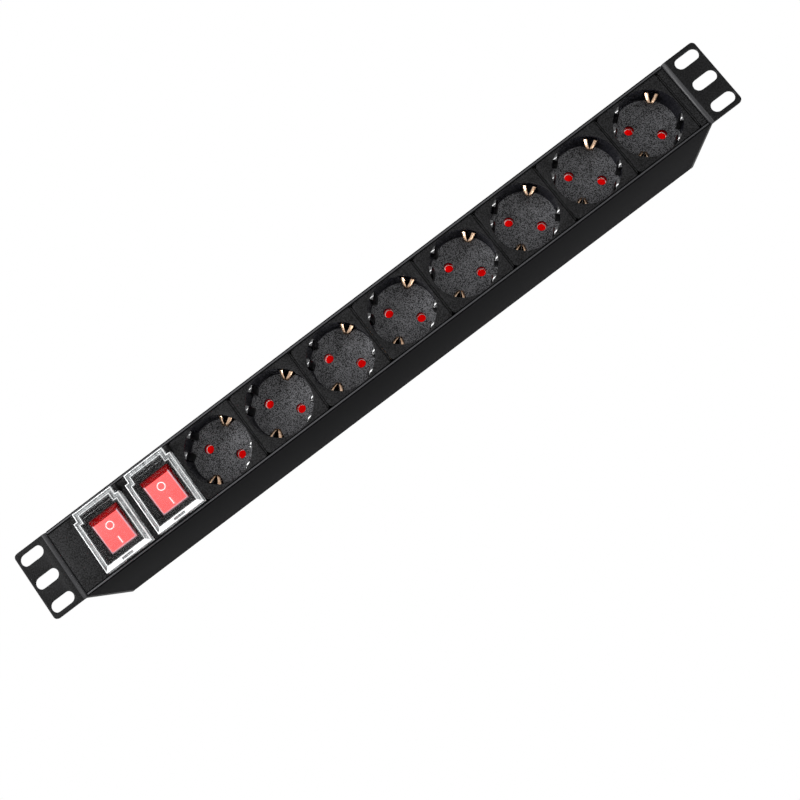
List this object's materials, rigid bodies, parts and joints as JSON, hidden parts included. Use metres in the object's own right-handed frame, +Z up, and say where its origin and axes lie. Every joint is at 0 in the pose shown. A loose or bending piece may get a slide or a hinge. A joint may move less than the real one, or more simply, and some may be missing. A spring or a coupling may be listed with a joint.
{
  "type": "rack power strip",
  "caption": "Slim rack-mount power strip with earthed round sockets on its front and rear, lit rocker switches under clear flip covers, reset buttons and slotted ears, black.",
  "frame": {"origin": "middle of the underside of the profile", "axes": "+X along the strip, to the right seen from its front; the front with the switches faces -Y and the rear with the reset buttons faces +Y; +Z up"},
  "size_m": [0.4826, 0.1006, 0.0444],
  "materials": {
    "anodised_profile": "black anodised aluminium, satin",
    "painted_sheet": "black powder coat, fine grain",
    "insert_plastic": "black moulded plastic, finely eroded",
    "shutter_plastic": "red plastic",
    "sprung_brass": "bare spring brass",
    "rocker_plastic": "translucent red, lit from inside",
    "clear_cover": "clear plastic",
    "breaker_plastic": "dark grey plastic",
    "button_plastic": "red plastic",
    "gland_plastic": "black nylon"
  },
  "bodies": {
    "strip": {"housing_profile": "anodised_profile", "left_bracket": "painted_sheet", "right_bracket": "painted_sheet", "gland_body": "gland_plastic", "gland_nut": "gland_plastic", "end_panel": "insert_plastic", "switch_filler": "insert_plastic", "front_end_strip": "insert_plastic", "rear_end_strip": "insert_plastic", "breaker_panel": "insert_plastic", "front_socket_1": "insert_plastic", "front_socket_2": "insert_plastic", "front_socket_3": "insert_plastic", "front_socket_4": "insert_plastic", "front_socket_5": "insert_plastic", "front_socket_6": "insert_plastic", "front_socket_7": "insert_plastic", "front_socket_8": "insert_plastic", "rear_socket_1": "insert_plastic", "rear_socket_2": "insert_plastic", "rear_socket_3": "insert_plastic", "rear_socket_4": "insert_plastic", "rear_socket_5": "insert_plastic", "rear_socket_6": "insert_plastic", "rear_socket_7": "insert_plastic", "rear_socket_8": "insert_plastic", "front_live_rail": "sprung_brass", "front_neutral_rail": "sprung_brass", "front_earth_rail": "sprung_brass", "rear_live_rail": "sprung_brass", "rear_neutral_rail": "sprung_brass", "rear_earth_rail": "sprung_brass", "front_bank_switch": "insert_plastic", "rear_bank_switch": "insert_plastic", "front_bank_breaker": "breaker_plastic", "rear_bank_breaker": "breaker_plastic", "front_bank_ring_nut": "gland_plastic", "rear_bank_ring_nut": "gland_plastic"},
    "front_bank_rocker_body": {"front_bank_rocker": "rocker_plastic"},
    "rear_bank_rocker_body": {"rear_bank_rocker": "rocker_plastic"},
    "front_bank_cover_body": {"front_bank_cover": "clear_cover"},
    "rear_bank_cover_body": {"rear_bank_cover": "clear_cover"},
    "front_bank_button_body": {"front_bank_reset_button": "button_plastic"},
    "rear_bank_button_body": {"rear_bank_reset_button": "button_plastic"},
    "front_shutter_1_body": {"front_shutter_1": "shutter_plastic"},
    "front_shutter_2_body": {"front_shutter_2": "shutter_plastic"},
    "front_shutter_3_body": {"front_shutter_3": "shutter_plastic"},
    "front_shutter_4_body": {"front_shutter_4": "shutter_plastic"},
    "front_shutter_5_body": {"front_shutter_5": "shutter_plastic"},
    "front_shutter_6_body": {"front_shutter_6": "shutter_plastic"},
    "front_shutter_7_body": {"front_shutter_7": "shutter_plastic"},
    "front_shutter_8_body": {"front_shutter_8": "shutter_plastic"},
    "rear_shutter_1_body": {"rear_shutter_1": "shutter_plastic"},
    "rear_shutter_2_body": {"rear_shutter_2": "shutter_plastic"},
    "rear_shutter_3_body": {"rear_shutter_3": "shutter_plastic"},
    "rear_shutter_4_body": {"rear_shutter_4": "shutter_plastic"},
    "rear_shutter_5_body": {"rear_shutter_5": "shutter_plastic"},
    "rear_shutter_6_body": {"rear_shutter_6": "shutter_plastic"},
    "rear_shutter_7_body": {"rear_shutter_7": "shutter_plastic"},
    "rear_shutter_8_body": {"rear_shutter_8": "shutter_plastic"}
  },
  "joints": [
    {"name": "front_bank_rocker_hinge", "type": "hinge", "parent": "strip", "child": "front_bank_rocker_body", "pos_m": [-0.1489, -0.03643, 0.0222], "axis": [-1, 0, 0], "range_deg": [0, 22]},
    {"name": "rear_bank_rocker_hinge", "type": "hinge", "parent": "strip", "child": "rear_bank_rocker_body", "pos_m": [-0.1852, -0.03643, 0.0222], "axis": [-1, 0, 0], "range_deg": [0, 22]},
    {"name": "front_bank_cover_hinge", "type": "hinge", "parent": "strip", "child": "front_bank_cover_body", "pos_m": [-0.1489, -0.0466, 0.0395], "axis": [-1, 0, 0], "range_deg": [0, 100]},
    {"name": "rear_bank_cover_hinge", "type": "hinge", "parent": "strip", "child": "rear_bank_cover_body", "pos_m": [-0.1852, -0.0466, 0.0395], "axis": [-1, 0, 0], "range_deg": [0, 100]},
    {"name": "front_bank_reset_slide", "type": "slide", "parent": "strip", "child": "front_bank_button_body", "axis": [0, 1, 0], "range_m": [0, 0.004]},
    {"name": "rear_bank_reset_slide", "type": "slide", "parent": "strip", "child": "rear_bank_button_body", "axis": [0, 1, 0], "range_m": [0, 0.004]},
    {"name": "front_shutter_1_pivot", "type": "hinge", "parent": "strip", "child": "front_shutter_1_body", "pos_m": [-0.1112, -0.0217, 0.0222], "axis": [0, 1, 0], "range_deg": [0, 38], "stiffness_Nm_per_rad": 0.0005},
    {"name": "front_shutter_2_pivot", "type": "hinge", "parent": "strip", "child": "front_shutter_2_body", "pos_m": [-0.0678, -0.0217, 0.0222], "axis": [0, 1, 0], "range_deg": [0, 38], "stiffness_Nm_per_rad": 0.0005},
    {"name": "front_shutter_3_pivot", "type": "hinge", "parent": "strip", "child": "front_shutter_3_body", "pos_m": [-0.0244, -0.0217, 0.0222], "axis": [0, 1, 0], "range_deg": [0, 38], "stiffness_Nm_per_rad": 0.0005},
    {"name": "front_shutter_4_pivot", "type": "hinge", "parent": "strip", "child": "front_shutter_4_body", "pos_m": [0.019, -0.0217, 0.0222], "axis": [0, 1, 0], "range_deg": [0, 38], "stiffness_Nm_per_rad": 0.0005},
    {"name": "front_shutter_5_pivot", "type": "hinge", "parent": "strip", "child": "front_shutter_5_body", "pos_m": [0.0624, -0.0217, 0.0222], "axis": [0, 1, 0], "range_deg": [0, 38], "stiffness_Nm_per_rad": 0.0005},
    {"name": "front_shutter_6_pivot", "type": "hinge", "parent": "strip", "child": "front_shutter_6_body", "pos_m": [0.1058, -0.0217, 0.0222], "axis": [0, 1, 0], "range_deg": [0, 38], "stiffness_Nm_per_rad": 0.0005},
    {"name": "front_shutter_7_pivot", "type": "hinge", "parent": "strip", "child": "front_shutter_7_body", "pos_m": [0.1492, -0.0217, 0.0222], "axis": [0, 1, 0], "range_deg": [0, 38], "stiffness_Nm_per_rad": 0.0005},
    {"name": "front_shutter_8_pivot", "type": "hinge", "parent": "strip", "child": "front_shutter_8_body", "pos_m": [0.1926, -0.0217, 0.0222], "axis": [0, 1, 0], "range_deg": [0, 38], "stiffness_Nm_per_rad": 0.0005},
    {"name": "rear_shutter_1_pivot", "type": "hinge", "parent": "strip", "child": "rear_shutter_1_body", "pos_m": [0.188, 0.0217, 0.0222], "axis": [0, -1, 0], "range_deg": [0, 38], "stiffness_Nm_per_rad": 0.0005},
    {"name": "rear_shutter_2_pivot", "type": "hinge", "parent": "strip", "child": "rear_shutter_2_body", "pos_m": [0.1446, 0.0217, 0.0222], "axis": [0, -1, 0], "range_deg": [0, 38], "stiffness_Nm_per_rad": 0.0005},
    {"name": "rear_shutter_3_pivot", "type": "hinge", "parent": "strip", "child": "rear_shutter_3_body", "pos_m": [0.1012, 0.0217, 0.0222], "axis": [0, -1, 0], "range_deg": [0, 38], "stiffness_Nm_per_rad": 0.0005},
    {"name": "rear_shutter_4_pivot", "type": "hinge", "parent": "strip", "child": "rear_shutter_4_body", "pos_m": [0.0578, 0.0217, 0.0222], "axis": [0, -1, 0], "range_deg": [0, 38], "stiffness_Nm_per_rad": 0.0005},
    {"name": "rear_shutter_5_pivot", "type": "hinge", "parent": "strip", "child": "rear_shutter_5_body", "pos_m": [0.0144, 0.0217, 0.0222], "axis": [0, -1, 0], "range_deg": [0, 38], "stiffness_Nm_per_rad": 0.0005},
    {"name": "rear_shutter_6_pivot", "type": "hinge", "parent": "strip", "child": "rear_shutter_6_body", "pos_m": [-0.029, 0.0217, 0.0222], "axis": [0, -1, 0], "range_deg": [0, 38], "stiffness_Nm_per_rad": 0.0005},
    {"name": "rear_shutter_7_pivot", "type": "hinge", "parent": "strip", "child": "rear_shutter_7_body", "pos_m": [-0.0724, 0.0217, 0.0222], "axis": [0, -1, 0], "range_deg": [0, 38], "stiffness_Nm_per_rad": 0.0005},
    {"name": "rear_shutter_8_pivot", "type": "hinge", "parent": "strip", "child": "rear_shutter_8_body", "pos_m": [-0.1158, 0.0217, 0.0222], "axis": [0, -1, 0], "range_deg": [0, 38], "stiffness_Nm_per_rad": 0.0005}
  ]
}
